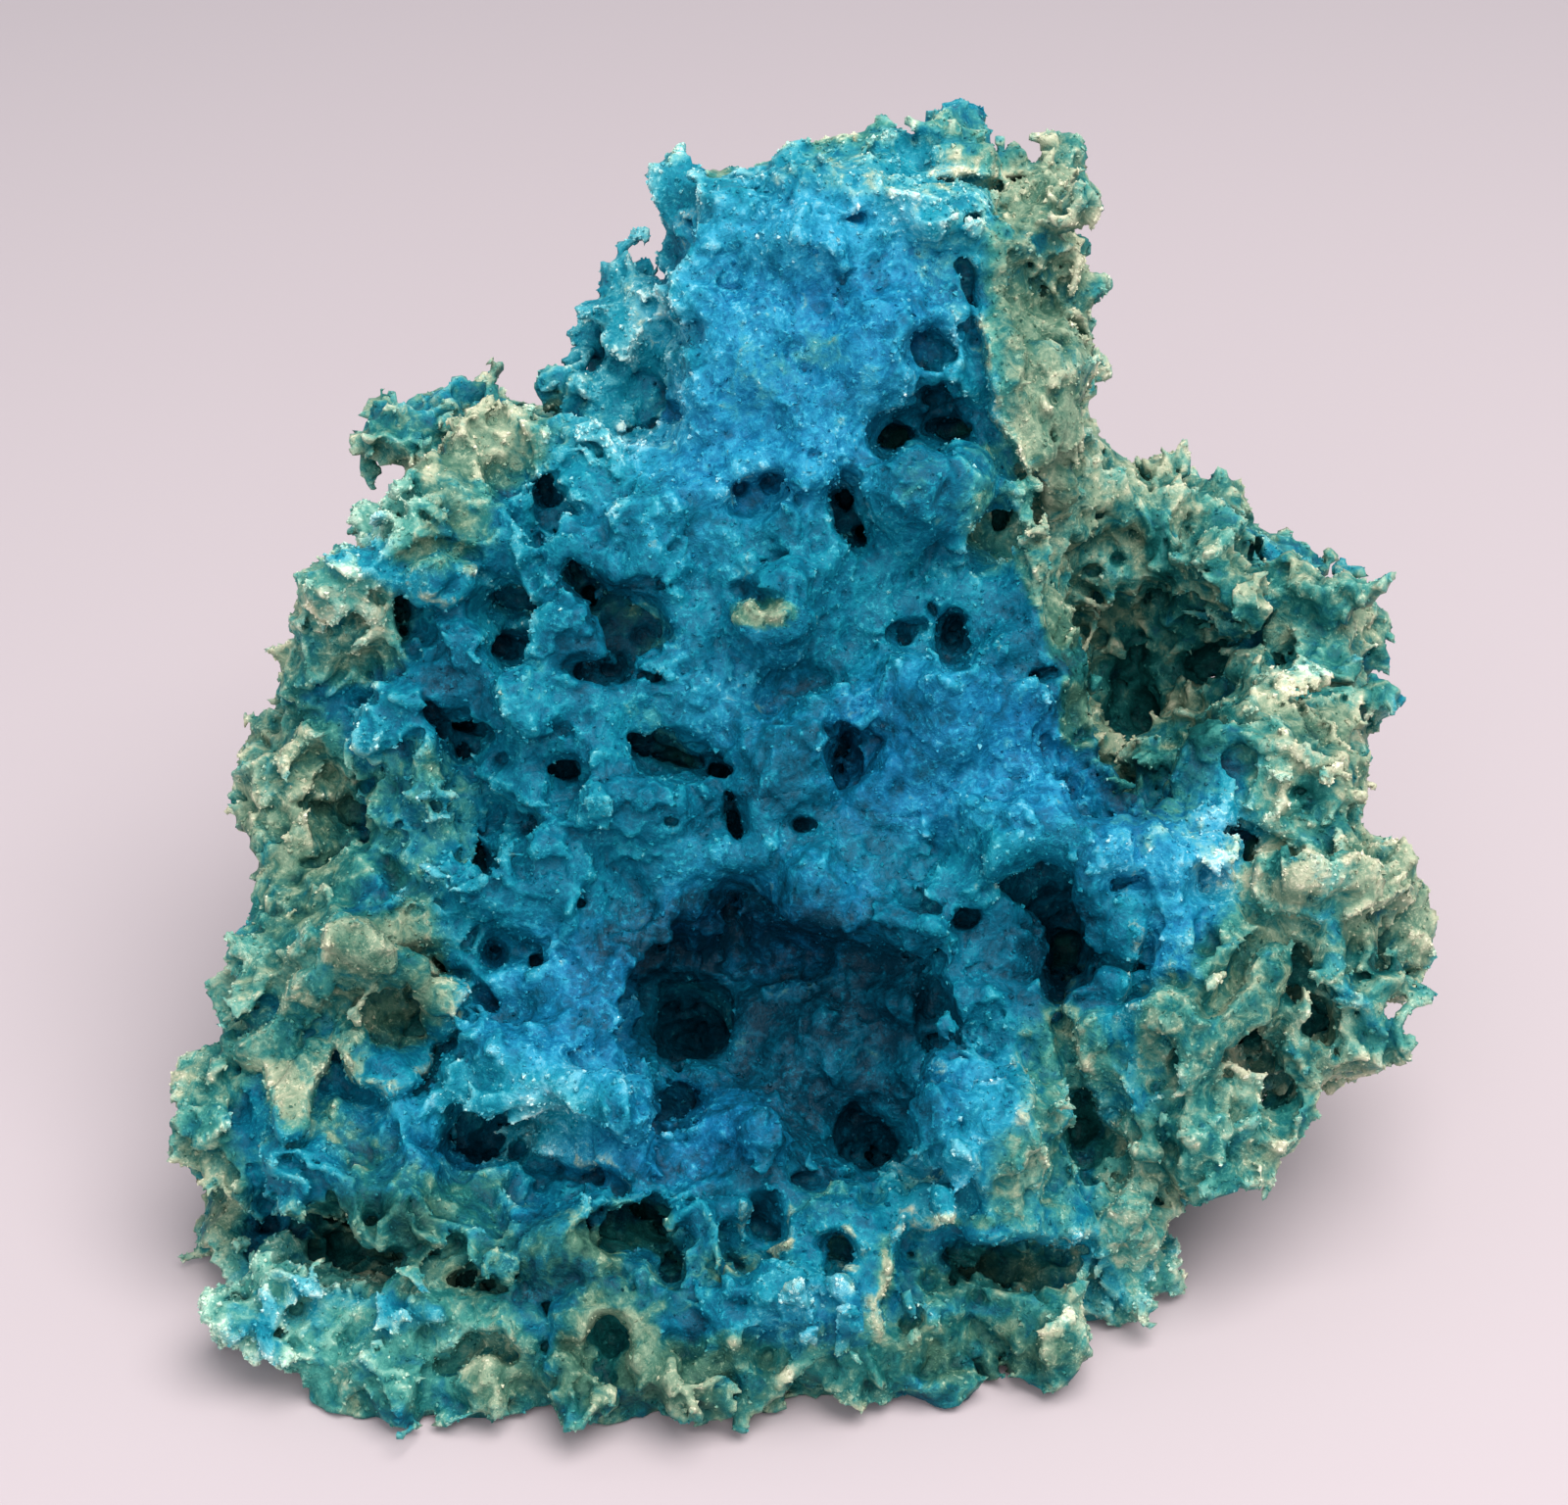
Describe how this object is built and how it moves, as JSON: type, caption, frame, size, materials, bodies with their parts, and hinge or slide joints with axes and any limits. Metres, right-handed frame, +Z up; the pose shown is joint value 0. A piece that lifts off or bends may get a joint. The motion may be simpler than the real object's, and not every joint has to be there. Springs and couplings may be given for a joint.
{
  "type": "chalcanthite specimen",
  "caption": "Spongy lobed mineral specimen, a blue mass with a blocky tower, a low grotto, a side cavern and crusted outer lobes, resting flat on its base.",
  "frame": {"origin": "on the resting plane, under the middle of the specimen's box", "axes": "+Z up, the show face looks towards -Y and leans back, +X to its right"},
  "size_m": [0.0818, 0.0762, 0.0644],
  "materials": {
    "chalcanthite": "waxy, cloudy blue with a sugary sparkle and a dull tan crust on the outer lobes"
  },
  "bodies": {
    "root": {"chalcanthite_mass": "chalcanthite"}
  },
  "joints": []
}
